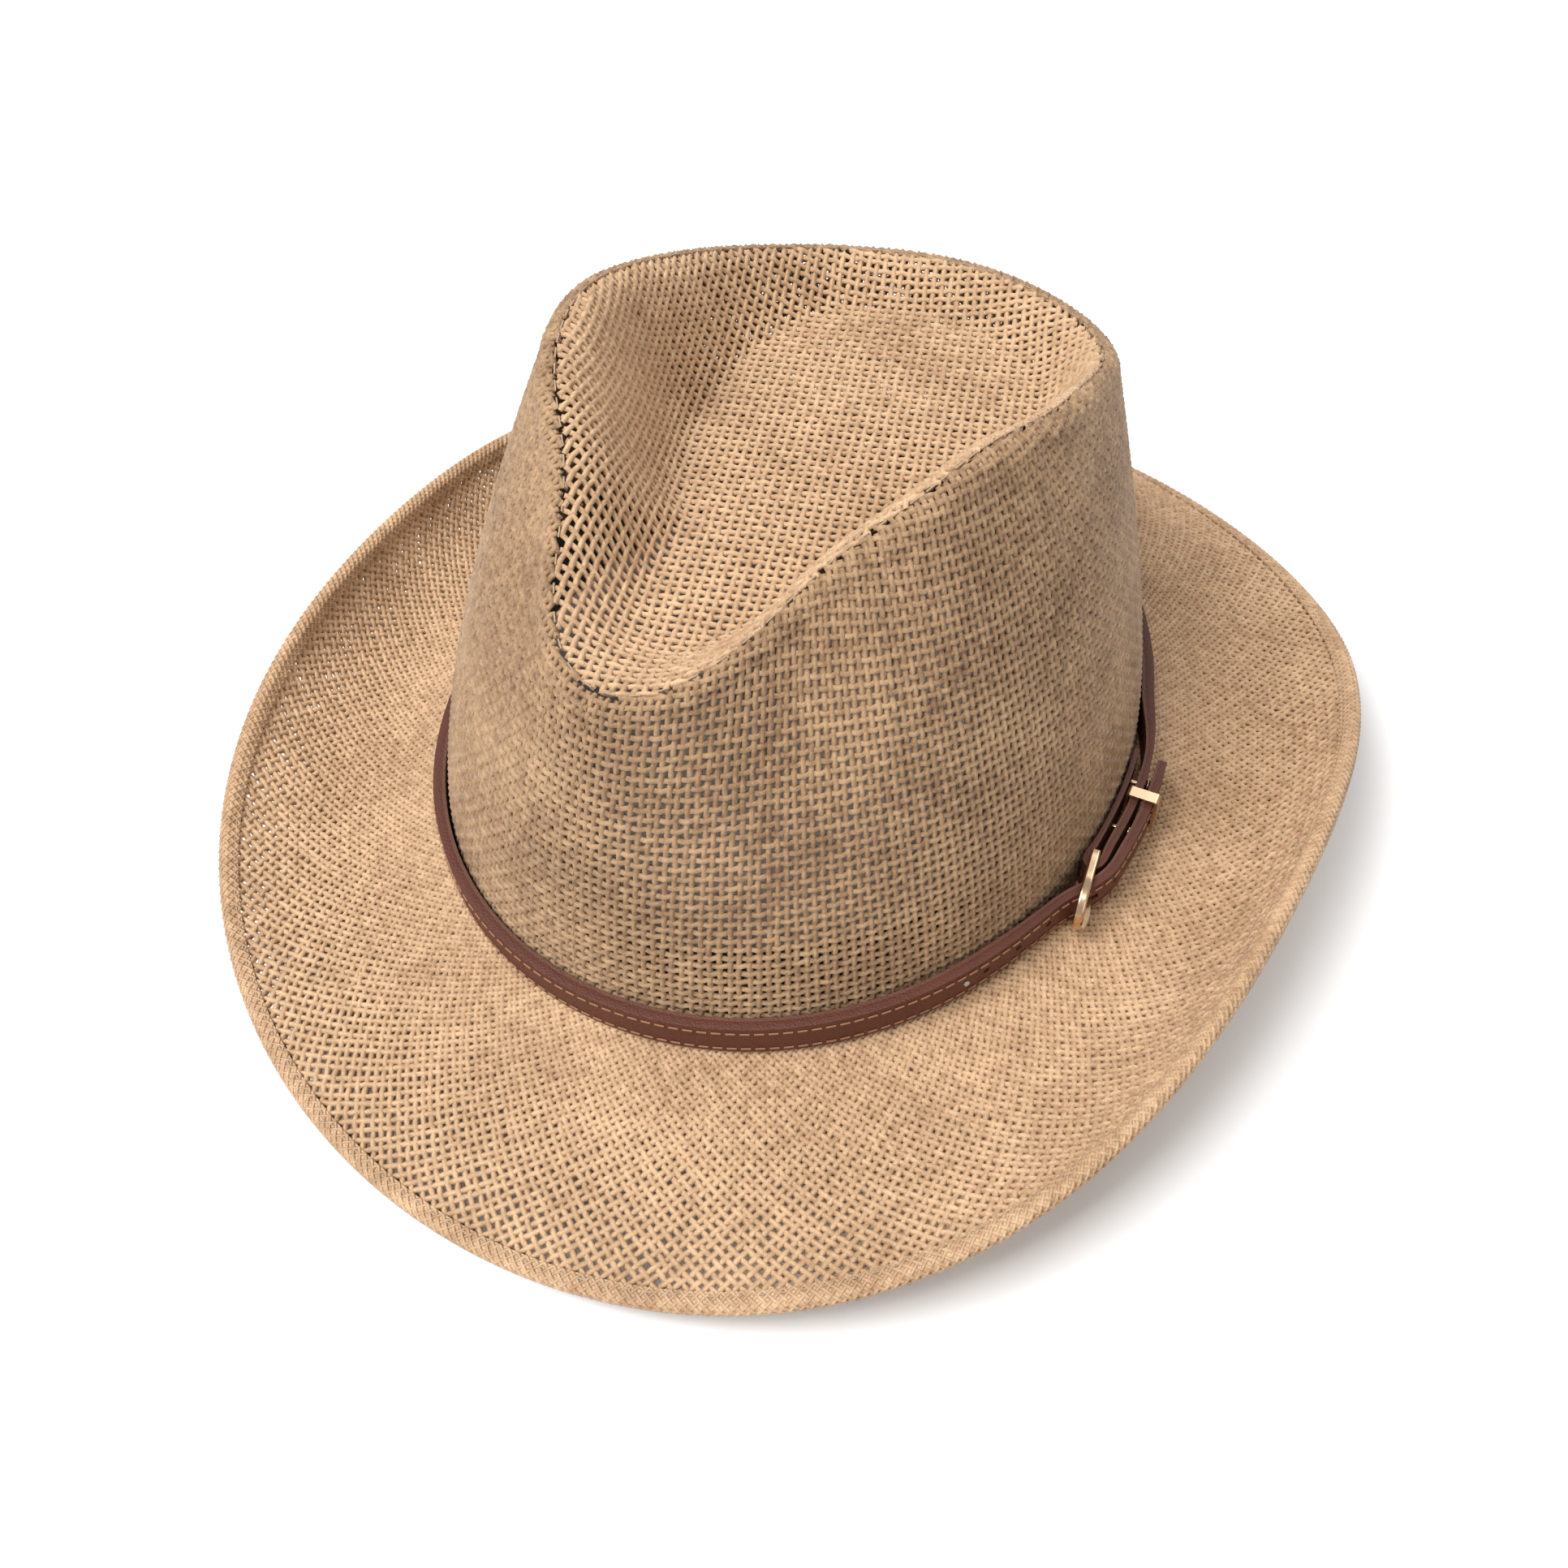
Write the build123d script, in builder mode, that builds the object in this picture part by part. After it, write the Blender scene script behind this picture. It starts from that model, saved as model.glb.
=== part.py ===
"""Woven straw hat with a western curled brim, a teardrop crown and a buckled belt band.

The front of the hat faces -Y, the wearer's left is +X and up is +Z.  The origin is on the
ground plane under the middle of the hat's bounding box.  All sizes are in millimetres.
"""
from build123d import *
from math import atan2, cos, degrees, hypot, pi, radians, sin
import os

os.makedirs("parts", exist_ok=True)

# ---- head opening and crown ------------------------------------------------------------
crown_base_length = 206.6      # outside of the crown at the brim break, front to back
crown_base_width = 169.4       # outside of the crown at the brim break, side to side
front_fullness = 0.054         # how much fuller the front half of the oval is than the back
straw = 0.8                    # thickness of one woven ply
lip = 4.5                      # radius of the rolled edge where the side turns into the tip
wall_bow = 1.6                 # 1 is a straight lean, more keeps the wall upright at its foot
# Crest of the crown, every 22.5 degrees from the front round to the back.
crest_radius_stations = [78.8, 62.5, 51.5, 50.9, 52.2, 57.1, 69.5, 83.7, 87.4]
crest_height_stations = [83.0, 92.0, 106.0, 114.8, 113.6, 106.4, 95.2, 84.9, 83.4]
# Dent in the tip: floor height above the brim break, and width of its sloping walls at
# the front, the sides and the back.
dent_floor_height = 77.0
dent_hub_radius = 8.0          # of the flat middle of the dent's floor
hub_pad = 0.12                 # that the middle stands proud of the floor, above and below
dent_wall_stations = [27.0, 22.0, 15.0]

# ---- brim ------------------------------------------------------------------------------
brim_width = 59.5              # from the break to the finished edge, along the surface
# Slope at the break and further turn up to the edge, in degrees, every 45 degrees.
break_slope_stations = [-8.0, -16.0, -23.5, -16.0, -8.0]
edge_curl_stations = [-15.0, 50.0, 113.0, 27.0, -30.0]
curl_power = 1.5               # how late the curl starts on its way out
ply_gap = 0.05                 # between the two plies
hem_width = 4.0                # how far the folded hem reaches in from the edge
hem_ply = 0.5                  # thickness of the hem's folded straw
hem_clear = 0.2                # between the hem and the plies that it holds
wire_radius = 0.6
wire_sides = 20                # of the drawn wire's many-sided section
wire_pocket = 2.2              # room between the plies' edges and the nose of the hem
sleeve_wall = 0.18             # of the tube that joins the two ends of the wire
sleeve_length = 16.0

# ---- inside ----------------------------------------------------------------------------
seam_gap = 0.1                 # between layers that are sewn together
tip_gap = 0.3                  # between the crown's side and its tip, along their seam
tape_height = 8.0
tape_thickness = 0.35
band_height = 27.0             # sweatband, above the break
band_thickness = 0.7
label_width = 24.0
label_height = 11.0
label_thickness = 0.25

# ---- belt ------------------------------------------------------------------------------
belt_width = 9.6
belt_foot = 0.8                # height of the belt's lower edge above the break
belt_clear = 0.25              # between the belt's back and the crown
belt_thickness = 3.0
tail_thickness = 2.4           # of the thinner free end
riveted_thickness = 2.0        # where the belt lies under the tail
fold_thickness = 1.8           # round the buckle's bar
fold_end_thickness = 1.3       # of the thinned end that is folded back
lining_share = 0.28            # of the thickness, the rest is the face wrapped over the core
core_share = 0.36
core_margin = 1.2              # of the face's turned edges, above and below the core
belt_hole_radius = 0.85
belt_hole_pitch = 9.6
tail_end_place = 171.5         # distance round the oval from the front to the tail's tip
tail_tip_radius = 4.2

# ---- buckle, prong, keeper and rivets ---------------------------------------------------
bar_place = 135.0              # distance round the oval from the front to the buckle's bar
bar_radius = 0.7
bar_play = 0.15                # between the bar and the fold or the prong's eye
buckle_reach = 15.0            # from the bar to the middle of the round end
buckle_tilt = 16.0             # degrees that the round end stands out from the belt's line
buckle_side_play = 0.35        # between the belt's edges and the buckle's arms
buckle_thickness = 2.2
buckle_round = 0.5             # of its edges
arm_end = 1.15                 # thickness of the arms at the bar
arm_overhang = 1.7             # of the arms past the bar
arm_round_end = 2.7            # thickness of the frame at the round end
prong_thickness = 1.2
prong_eye_wall = 0.65
prong_play = 0.3               # between the prong and the sides of its slots
swing_room = 11.0              # degrees that the prong's slot leaves for its lift
keeper_place = 157.0
keeper_width = 3.0
keeper_thickness = 0.7
keeper_play = 0.5
keeper_corner = 0.8
rivet_spread = 7.5             # from the keeper to each rivet
rivet_radius = 0.6
rivet_cap_radius = 1.5
rivet_cap_height = 0.9
rivet_foot_height = 0.25

# ---- threads ---------------------------------------------------------------------------
thread = 0.3
belt_stitch_length = 2.2
belt_stitch_pitch = 3.2
belt_stitch_margin = 1.6       # from the belt's edges
seam_stitch_length = 2.4
seam_stitch_pitch = 4.5
tack_angles = [-57, 57, -128, 128]
tack_radius = 0.22
tack_head_radius = 0.7
tack_head_height = 0.4

half_length = crown_base_length / 2
half_width = crown_base_width / 2


def even_series(stations):
    """A smooth curve through values spaced evenly from the front to the back."""
    last = len(stations) - 1
    weight = [0.5 if j in (0, last) else 1.0 for j in range(last + 1)]
    terms = []
    for k in range(last + 1):
        total = sum(w * v * cos(pi * k * j / last) for j, (w, v) in enumerate(zip(weight, stations)))
        terms.append(2 * weight[k] * total / last)
    return lambda angle: sum(term * cos(k * angle) for k, term in enumerate(terms))


crest_radius = even_series(crest_radius_stations)
crest_height = even_series(crest_height_stations)
dent_wall = even_series(dent_wall_stations)
break_slope = even_series([radians(v) for v in break_slope_stations])
edge_curl = even_series([radians(v) for v in edge_curl_stations])


# ---- the oval and its arc length ---------------------------------------------------------
def oval(angle, out=0.0):
    """A point of the crown's base oval moved outwards, and its outward direction."""
    x = half_width * sin(angle) * (1 + front_fullness * cos(angle))
    y = -half_length * cos(angle)
    dx = half_width * (cos(angle) + front_fullness * cos(2 * angle))
    dy = half_length * sin(angle)
    size = hypot(dx, dy)
    return x + out * dy / size, y - out * dx / size, dy / size, -dx / size


def arc_table(steps=720):
    """Distances round the oval from the front, one for each equal step of the angle."""
    places = [0.0]
    for i in range(steps):
        ax, ay, _, _ = oval(2 * pi * i / steps)
        bx, by, _, _ = oval(2 * pi * (i + 1) / steps)
        places.append(places[-1] + hypot(bx - ax, by - ay))
    return places


oval_places = arc_table()
girth = oval_places[-1]


def angle_at(place):
    """The oval's angle at a distance from the front."""
    turns, rest = divmod(place, girth)
    i = next(k for k, value in enumerate(oval_places) if value > rest) - 1
    share = (rest - oval_places[i]) / (oval_places[i + 1] - oval_places[i])
    return 2 * pi * (turns + (i + share) / (len(oval_places) - 1))


def base_radius(direction):
    """Radius of the base oval in a compass direction, 0 at the front."""
    low, high = 0.0, pi
    for _ in range(40):
        middle = (low + high) / 2
        x, y, _, _ = oval(middle)
        low, high = (middle, high) if atan2(x, -y) < direction else (low, middle)
    x, y, _, _ = oval(low)
    return hypot(x, y)


# ---- the brim's surface ------------------------------------------------------------------
def brim_point(angle, reach, height=0.0):
    """Outward and upward place of a point of the brim.

    reach is the distance from the break along the top surface, height is above it.
    """
    steps = 24
    out = up = 0.0
    slope = 0.0
    if reach <= 0:
        return reach, height
    for i in range(steps):
        share = (i + 0.5) * reach / steps / brim_width
        slope = break_slope(angle) + edge_curl(angle) * share ** curl_power
        out += cos(slope) * reach / steps
        up += sin(slope) * reach / steps
    slope = break_slope(angle) + edge_curl(angle) * (reach / brim_width) ** curl_power
    return out - height * sin(slope), up + height * cos(slope)


hem_top = hem_clear + hem_ply
hem_bottom = -2 * straw - ply_gap - hem_clear - hem_ply
hem_middle = (hem_top + hem_bottom) / 2
pocket_top = hem_top - hem_ply
pocket_bottom = hem_bottom + hem_ply
nose = 1.3                     # length of the hem's rounded nose


def hem_profile(angle):
    """The folded hem: over the top, round the nose and back underneath, then its inside."""
    corners = [
        (brim_width - hem_width, pocket_top), (brim_width - hem_width, hem_top),
        (brim_width - nose, hem_top), (brim_width - nose * 0.3, hem_top - nose * 0.3),
        (brim_width, hem_middle),
        (brim_width - nose * 0.3, hem_bottom + nose * 0.3), (brim_width - nose, hem_bottom),
        (brim_width - hem_width, hem_bottom), (brim_width - hem_width, pocket_bottom),
        (brim_width - hem_ply, pocket_bottom), (brim_width - hem_ply, pocket_top),
    ]
    return [brim_point(angle, reach, height) for reach, height in corners]


def edge_samples():
    """Height and front-to-back place of the hem's corners all the way round."""
    heights, lengths = [], []
    for i in range(91):
        angle = pi * i / 90
        for out, up in hem_profile(angle):
            heights.append(up)
            lengths.append(oval(angle, out)[1])
    return heights, lengths


edge_heights, edge_lengths = edge_samples()
break_z = -min(edge_heights)
middle_y = -(min(edge_lengths) + max(edge_lengths)) / 2


def place_plane(angle, out=0.0, up=0.0):
    """An upright plane across the oval: local x points outwards, local y up."""
    x, y, nx, ny = oval(angle, out)
    return Plane(origin=(x, y + middle_y, break_z + up), x_dir=(nx, ny, 0), z_dir=(ny, -nx, 0))


def compass_plane(direction):
    """An upright plane through the middle of the crown: local x points outwards."""
    nx, ny = sin(direction), -cos(direction)
    return Plane(origin=(0, middle_y, break_z), x_dir=(nx, ny, 0), z_dir=(ny, -nx, 0))


def spread(count, first=0.0, last=pi):
    """Angles spaced evenly from first to last."""
    return [first + (last - first) * i / count for i in range(count + 1)]


def outline(*sides, curved=True):
    """The closed outline of sides, each a list of points, joined end to start."""
    with BuildLine() as edges:
        for i, side in enumerate(sides):
            if curved:
                Spline(*side)
            else:
                Polyline(*side)
            Line(side[-1], sides[(i + 1) % len(sides)][0])
    return edges.edges()


# ---- the crown's wall --------------------------------------------------------------------
def wall_radius(direction, height, inwards=0.0):
    """Radius of the crown's wall at a height above the break."""
    foot = base_radius(direction)
    top = crest_radius(direction) + lip
    share = max(height, 0.0) / (crest_height(direction) - lip)
    return foot + (top - foot) * share ** wall_bow - inwards


def wall_line(direction, low, high, inwards, count=4):
    """Points of the wall from low to high."""
    heights = [low + (high - low) * i / count for i in range(count + 1)]
    return [(wall_radius(direction, height, inwards), height) for height in heights]


def side_profile(direction, inwards):
    """The wall from its foot over the rolled lip to the crest."""
    shoulder = crest_height(direction) - lip
    points = wall_line(direction, seam_gap / 2, shoulder, inwards, 5)
    for turn in (30, 60, 90):
        reach = (lip - inwards) * cos(radians(turn))
        rise = (lip - inwards) * sin(radians(turn))
        points.append((crest_radius(direction) + reach, shoulder + rise))
    return points


with BuildPart() as crown_side:
    for direction in spread(18):
        with BuildSketch(compass_plane(direction)):
            make_face(outline(side_profile(direction, 0), side_profile(direction, straw)[::-1]))
    loft()
    mirror(about=Plane.YZ)
crown_side.part.label = "crown_side"


def tip_profile(direction, drop):
    """The tip from the flat hub of the dent up to the crest, drop below its top surface."""
    rim = crest_radius(direction) - tip_gap
    rise = crest_height(direction) - dent_floor_height
    wall = min(dent_wall(direction), rim - 2 * dent_hub_radius)
    foot = rim - wall
    points = []
    for share in (0.0, 0.35, 0.7, 0.9):
        points.append((dent_hub_radius + share * (foot - dent_hub_radius), dent_floor_height - drop))
    for share in (1.0, 0.85, 0.7, 0.5, 0.3, 0.15, 0.0):
        fall = rise * (1 + cos(pi * share)) / 2
        points.append((rim - share * wall, dent_floor_height + fall - drop))
    return points


with BuildPart() as crown_tip:
    for direction in spread(18):
        with BuildSketch(compass_plane(direction)):
            make_face(outline(tip_profile(direction, 0), tip_profile(direction, straw)[::-1]))
    loft()
    mirror(about=Plane.YZ)
    with BuildSketch(Plane.XY.offset(break_z + dent_floor_height - straw - hub_pad)):
        with Locations((0, middle_y)):
            Circle(dent_hub_radius + 1)
    extrude(amount=straw + 2 * hub_pad)
crown_tip.part.label = "crown_tip"


# ---- the brim ----------------------------------------------------------------------------
brim_angles = spread(16)
ply_reach = brim_width - wire_pocket


def ply_profile(angle, height):
    """A line across one ply at a height above the brim's top surface."""
    return [brim_point(angle, -straw + (ply_reach + straw) * i / 8, height) for i in range(9)]


with BuildPart() as brim_top_ply:
    for angle in brim_angles:
        with BuildSketch(place_plane(angle)):
            make_face(outline(ply_profile(angle, 0), ply_profile(angle, -straw)[::-1]))
    loft()
    mirror(about=Plane.YZ)
brim_top_ply.part.label = "brim_top_ply"

under_top = -straw - ply_gap

with BuildPart() as brim_under_ply:
    for angle in brim_angles:
        with BuildSketch(place_plane(angle)):
            make_face(outline(ply_profile(angle, under_top), ply_profile(angle, under_top - straw)[::-1]))
    loft()
    mirror(about=Plane.YZ)
brim_under_ply.part.label = "brim_under_ply"

with BuildPart() as brim_hem:
    for angle in brim_angles:
        with BuildSketch(place_plane(angle)):
            with BuildLine():
                Polyline(*hem_profile(angle), close=True)
            make_face()
    loft()
    mirror(about=Plane.YZ)
brim_hem.part.label = "brim_hem"

wire_reach = brim_width - hem_ply - (wire_pocket - hem_ply) / 2


with BuildPart() as brim_wire:
    for angle in brim_angles:
        with BuildSketch(place_plane(angle)):
            with Locations(brim_point(angle, wire_reach, hem_middle)):
                RegularPolygon(wire_radius, wire_sides)
    loft()
    mirror(about=Plane.YZ)
brim_wire.part.label = "brim_wire"

sleeve_turn = sleeve_length / 2 / (half_width ** 2 / half_length + brim_width)

with BuildPart() as brim_wire_sleeve:
    for angle in spread(2, pi - sleeve_turn, pi):
        with BuildSketch(place_plane(angle)):
            with Locations(brim_point(angle, wire_reach, hem_middle)):
                Circle(wire_radius + seam_gap / 4 + sleeve_wall)
    loft()
    for angle in spread(2, pi - sleeve_turn, pi):
        with BuildSketch(place_plane(angle)):
            with Locations(brim_point(angle, wire_reach, hem_middle)):
                Circle(wire_radius + seam_gap / 4)
    loft(mode=Mode.SUBTRACT)
    mirror(about=Plane.YZ)
brim_wire_sleeve.part.label = "brim_wire_sleeve"

# ---- inside the crown --------------------------------------------------------------------
tape_inwards = straw + seam_gap
band_inwards = tape_inwards + tape_thickness + seam_gap
inside_foot = hem_bottom + hem_ply


def inner_profile(direction, top, inwards):
    """A layer inside the crown, from under the brim up along the wall."""
    foot = [(wall_radius(direction, 0, inwards), inside_foot), (wall_radius(direction, 0, inwards), 0)]
    return foot + wall_line(direction, top / 4, top, inwards, 3)


with BuildPart() as inner_seam_tape:
    for direction in spread(12):
        with BuildSketch(compass_plane(direction)):
            inner = inner_profile(direction, tape_height, tape_inwards + tape_thickness)
            outer = inner_profile(direction, tape_height, tape_inwards)
            make_face(outline(outer, inner[::-1], curved=False))
    loft()
    mirror(about=Plane.YZ)
inner_seam_tape.part.label = "inner_seam_tape"

with BuildPart() as sweatband:
    for direction in spread(12):
        with BuildSketch(compass_plane(direction)):
            inner = inner_profile(direction, band_height, band_inwards + band_thickness)
            outer = inner_profile(direction, band_height, band_inwards)
            make_face(outline(outer, inner[::-1], curved=False))
    loft()
    mirror(about=Plane.YZ)
sweatband.part.label = "sweatband"

label_inwards = band_inwards + band_thickness + seam_gap / 2
label_low = (band_height - label_height) / 2
label_turn = label_width / 2 / (half_length - band_inwards)

with BuildPart() as size_label:
    for direction in spread(3, pi - label_turn, pi):
        with BuildSketch(compass_plane(direction)):
            outer = wall_line(direction, label_low, label_low + label_height, label_inwards)
            inner = wall_line(direction, label_low, label_low + label_height, label_inwards + label_thickness)
            make_face(outline(outer, inner[::-1], curved=False))
    loft()
    mirror(about=Plane.YZ)
size_label.part.label = "size_label"

# ---- the belt's path ---------------------------------------------------------------------
fold_radius = bar_radius + bar_play + fold_thickness / 2
fold_end_offset = belt_clear + rivet_foot_height + seam_gap / 2 + fold_end_thickness / 2
bar_offset = belt_clear + rivet_foot_height + seam_gap + fold_thickness / 2 + fold_radius
keeper_gap = keeper_thickness + 2 * keeper_play
riveted_offset = fold_end_offset + fold_end_thickness / 2 + keeper_gap + riveted_thickness / 2
cap_room = rivet_cap_height + prong_play
tail_offset = riveted_offset + (riveted_thickness + tail_thickness) / 2 + cap_room
fold_room = (fold_thickness + tail_thickness) / 2 + prong_play
bar_tail_offset = max(tail_offset, bar_offset + fold_radius + fold_room)
belt_offset = belt_clear + belt_thickness / 2
round_end_place = bar_place - buckle_reach


def fold_points():
    """The belt's turn round the bar, as places, offsets and thicknesses."""
    points = []
    for turn in (-90, -45, 0, 45, 90):
        place = bar_place - fold_radius * cos(radians(turn))
        points.append((place, bar_offset + fold_radius * sin(radians(turn)), fold_thickness))
    return points


def belt_rows():
    """The belt's middle line from its folded end, round the hat, to the tail's tip.

    Each row is the distance round the oval, the distance out from it and the thickness.
    """
    rows = []
    near, far = keeper_place - rivet_spread, keeper_place + rivet_spread
    for place in (tail_end_place, far, keeper_place, near):
        rows.append((place, fold_end_offset, fold_end_thickness))
    middle = (fold_end_offset + bar_offset - fold_radius) / 2
    fold_foot = bar_place + 2.2 * fold_radius
    rows.append((fold_foot, middle, (fold_end_thickness + fold_thickness) / 2))
    rows += fold_points()
    middle = (riveted_offset + bar_offset + fold_radius) / 2
    rows.append((fold_foot, middle, (riveted_thickness + fold_thickness) / 2))
    for place in (near, keeper_place, far):
        rows.append((place, riveted_offset, riveted_thickness))
    rows.append((tail_end_place, riveted_offset * 0.9 + belt_offset * 0.1, riveted_thickness))
    rows.append((tail_end_place + 9, (riveted_offset + belt_offset) / 2, belt_thickness * 0.85))
    rows.append((tail_end_place + 18, belt_offset * 1.05, belt_thickness))
    first, last = tail_end_place + 28, girth + round_end_place - 22
    rows += [(first + (last - first) * i / 36, belt_offset, belt_thickness) for i in range(37)]
    start = girth + round_end_place
    rise = bar_tail_offset - belt_offset
    rows.append((start - 11, belt_offset + 0.06 * rise, (tail_thickness + belt_thickness) / 2))
    for along, share in ((-4, 0.14), (3, 0.33), (9, 0.74), (15, 1.0), (20, 1.0)):
        rows.append((start + along, belt_offset + share * rise, tail_thickness))
    for place in (near, keeper_place, far, tail_end_place):
        rows.append((girth + place, tail_offset, tail_thickness))
    return rows


def belt_line(share, first=0, last=None):
    """Points along the belt at a share of its thickness, 0 on the lining and 1 on the face."""
    rows = belt_rows()
    middles = [oval(angle_at(place), offset)[:2] for place, offset, _ in rows]
    points = []
    for i, ((x, y), (_, _, thickness)) in enumerate(zip(middles, rows)):
        ax, ay = middles[max(i - 1, 0)]
        bx, by = middles[min(i + 1, len(middles) - 1)]
        step = (share - 0.5) * thickness / hypot(bx - ax, by - ay)
        points.append((x + (by - ay) * step, y - (bx - ax) * step + middle_y))
    return points[first:last]


belt_bottom = break_z + belt_foot
belt_middle = belt_bottom + belt_width / 2
core_low = lining_share
core_high = lining_share + core_share


def across_belt(place, offset):
    """A plane that faces out from the belt, at half its height."""
    x, y, nx, ny = oval(angle_at(place), offset)
    return Plane(origin=(x, y + middle_y, belt_middle), x_dir=(-ny, nx, 0), z_dir=(nx, ny, 0))


def buckle_plane():
    """The buckle's own plane: x from the bar to the round end, z away from the hat."""
    x, y, nx, ny = oval(angle_at(bar_place), bar_offset)
    c, s = cos(radians(buckle_tilt)), sin(radians(buckle_tilt))
    towards_end = (ny * c + nx * s, -nx * c + ny * s, 0)
    outwards = (nx * c - ny * s, ny * c + nx * s, 0)
    return Plane(origin=(x, y + middle_y, belt_middle), x_dir=towards_end, z_dir=outwards)


buckle = buckle_plane()
# The prong's plane is level: local x from the bar to the round end, local y outwards.
prong_plane = Plane(origin=buckle.origin, x_dir=buckle.x_dir, z_dir=buckle.x_dir.cross(buckle.z_dir))
prong_rest = buckle_thickness / 2 + seam_gap / 2
prong_end = buckle_reach + arm_round_end * 0.8
eye_radius = bar_radius + bar_play + prong_eye_wall
prong_half = prong_thickness / 2
prong_under = [
    (0.6, -0.45), (buckle_reach * 0.4, 0.1), (buckle_reach * 0.72, 0.85),
    (buckle_reach - arm_round_end * 0.75, prong_rest), (prong_end, prong_rest),
]
prong_over = [
    (prong_end + 0.2, prong_rest + prong_half), (buckle_reach * 0.92, prong_rest + prong_thickness),
    (buckle_reach * 0.72, 0.85 + prong_thickness), (buckle_reach * 0.4, 0.1 + prong_thickness),
    (0.6, prong_thickness - 0.45),
]


def prong_slot():
    """The room that the prong needs through the belt, from rest to its highest lift."""
    lift = sin(radians(swing_room))
    under = [(x, y - prong_play) for x, y in prong_under]
    over = [(x, y + prong_play + x * lift) for x, y in prong_over]
    return under, over


prong_place = round_end_place + 6
belt_hole_places = [prong_place - belt_hole_pitch * i for i in (1, 2, 3)]
rivet_places = [keeper_place - rivet_spread, keeper_place + rivet_spread]


# The holes, the prong's slots, the rivets' holes and the corners of the tail's tip.
with BuildPart() as belt_cuts:
    for place in belt_hole_places:
        with BuildSketch(across_belt(place, -1)):
            Circle(belt_hole_radius)
        extrude(amount=bar_tail_offset + 1)
    with BuildSketch(across_belt(prong_place + belt_hole_pitch, bar_tail_offset - tail_thickness)):
        Circle(belt_hole_radius)
    extrude(amount=2 * tail_thickness)
    with BuildSketch(prong_plane):
        make_face(outline(*prong_slot(), curved=False))
    extrude(amount=prong_half + prong_play, both=True)
    with BuildSketch(prong_plane):
        Rectangle(2 * eye_radius + 2 * prong_play, 2 * fold_radius + fold_thickness + seam_gap)
    extrude(amount=prong_half + prong_play, both=True)
    for place in rivet_places:
        with BuildSketch(across_belt(place, 0)):
            Circle(rivet_radius + seam_gap / 2)
        extrude(amount=riveted_offset + riveted_thickness / 2 + seam_gap)
    with BuildSketch(across_belt(tail_end_place, tail_offset - tail_thickness)):
        for side in (-1, 1):
            with Locations((1 - tail_tip_radius / 2, side * (belt_width - tail_tip_radius) / 2)):
                Rectangle(tail_tip_radius + 2, tail_tip_radius)
        for side in (-1, 1):
            with Locations((-tail_tip_radius, side * (belt_width / 2 - tail_tip_radius))):
                Circle(tail_tip_radius, mode=Mode.SUBTRACT)
    extrude(amount=2 * tail_thickness)


with BuildPart() as belt_lining:
    with BuildSketch(Plane.XY.offset(belt_bottom)):
        make_face(outline(belt_line(0), belt_line(core_low)[::-1]))
    extrude(amount=belt_width)
    add(belt_cuts.part, mode=Mode.SUBTRACT)
belt_lining.part.label = "belt_lining"

core_first, core_last = 11, -2  # the core runs from past the fold to short of the tip
core_play = 0.03                # share of the thickness that stays free on each side of it

with BuildPart() as belt_core:
    with BuildSketch(Plane.XY.offset(belt_bottom + core_margin)):
        inner_side = belt_line(core_low + core_play, core_first, core_last)
        make_face(outline(inner_side, belt_line(core_high - core_play, core_first, core_last)[::-1]))
    extrude(amount=belt_width - 2 * core_margin)
    add(belt_cuts.part, mode=Mode.SUBTRACT)
belt_core.part.label = "belt_core"

with BuildPart() as belt_face:
    with BuildSketch(Plane.XY.offset(belt_bottom)):
        make_face(outline(belt_line(core_low), belt_line(1)[::-1]))
    extrude(amount=belt_width)
    with BuildSketch(Plane.XY.offset(belt_bottom + core_margin)):
        inner_side = belt_line(core_low - core_play, core_first, core_last)
        make_face(outline(inner_side, belt_line(core_high, core_first, core_last)[::-1]))
    extrude(amount=belt_width - 2 * core_margin, mode=Mode.SUBTRACT)
    add(belt_cuts.part, mode=Mode.SUBTRACT)
belt_face.part.label = "belt_face"

# ---- buckle, prong, keeper and rivets ------------------------------------------------------
opening_half = belt_width / 2 + buckle_side_play
bar_half = opening_half + arm_end * 0.8


def horseshoe(reach, half, shoulder):
    """One edge of the frame, from the lower arm's end round to the upper arm's end."""
    side = [(-arm_overhang, -half), (buckle_reach * 0.25, -half - shoulder * 0.6)]
    side += [(buckle_reach * 0.62, -half - shoulder), (reach * 0.92, -half * 0.6)]
    return side + [(reach, 0)] + [(x, -y) for x, y in side[::-1]]


with BuildPart() as buckle_frame:
    with BuildSketch(buckle):
        outer = horseshoe(buckle_reach + arm_round_end / 2, opening_half + arm_end, 0.7)
        inner = horseshoe(buckle_reach - arm_round_end / 2, opening_half, 0.05)
        make_face(outline(outer, inner[::-1]))
    extrude(amount=buckle_thickness / 2, both=True)
    rims = buckle_frame.faces().filter_by(buckle).edges()
    fillet(rims.filter_by(lambda edge: edge.length > buckle_reach), buckle_round)
    with BuildSketch(prong_plane):
        Circle(bar_radius + seam_gap / 10)
    extrude(amount=bar_half, both=True, mode=Mode.SUBTRACT)
buckle_frame.part.label = "buckle_frame"

with BuildPart() as buckle_bar:
    with BuildSketch(prong_plane):
        Circle(bar_radius)
    extrude(amount=bar_half, both=True)
buckle_bar.part.label = "buckle_bar"

with BuildPart() as buckle_prong:
    with BuildSketch(prong_plane):
        make_face(outline(prong_under, prong_over))
        Circle(eye_radius)
        Circle(bar_radius + bar_play, mode=Mode.SUBTRACT)
    extrude(amount=prong_half, both=True)
buckle_prong.part.label = "buckle_prong"

keeper_low = fold_end_offset + fold_end_thickness / 2 + keeper_play
keeper_high = tail_offset + tail_thickness / 2 + keeper_play + keeper_thickness
keeper_half = belt_width / 2 + keeper_play + keeper_thickness

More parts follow.
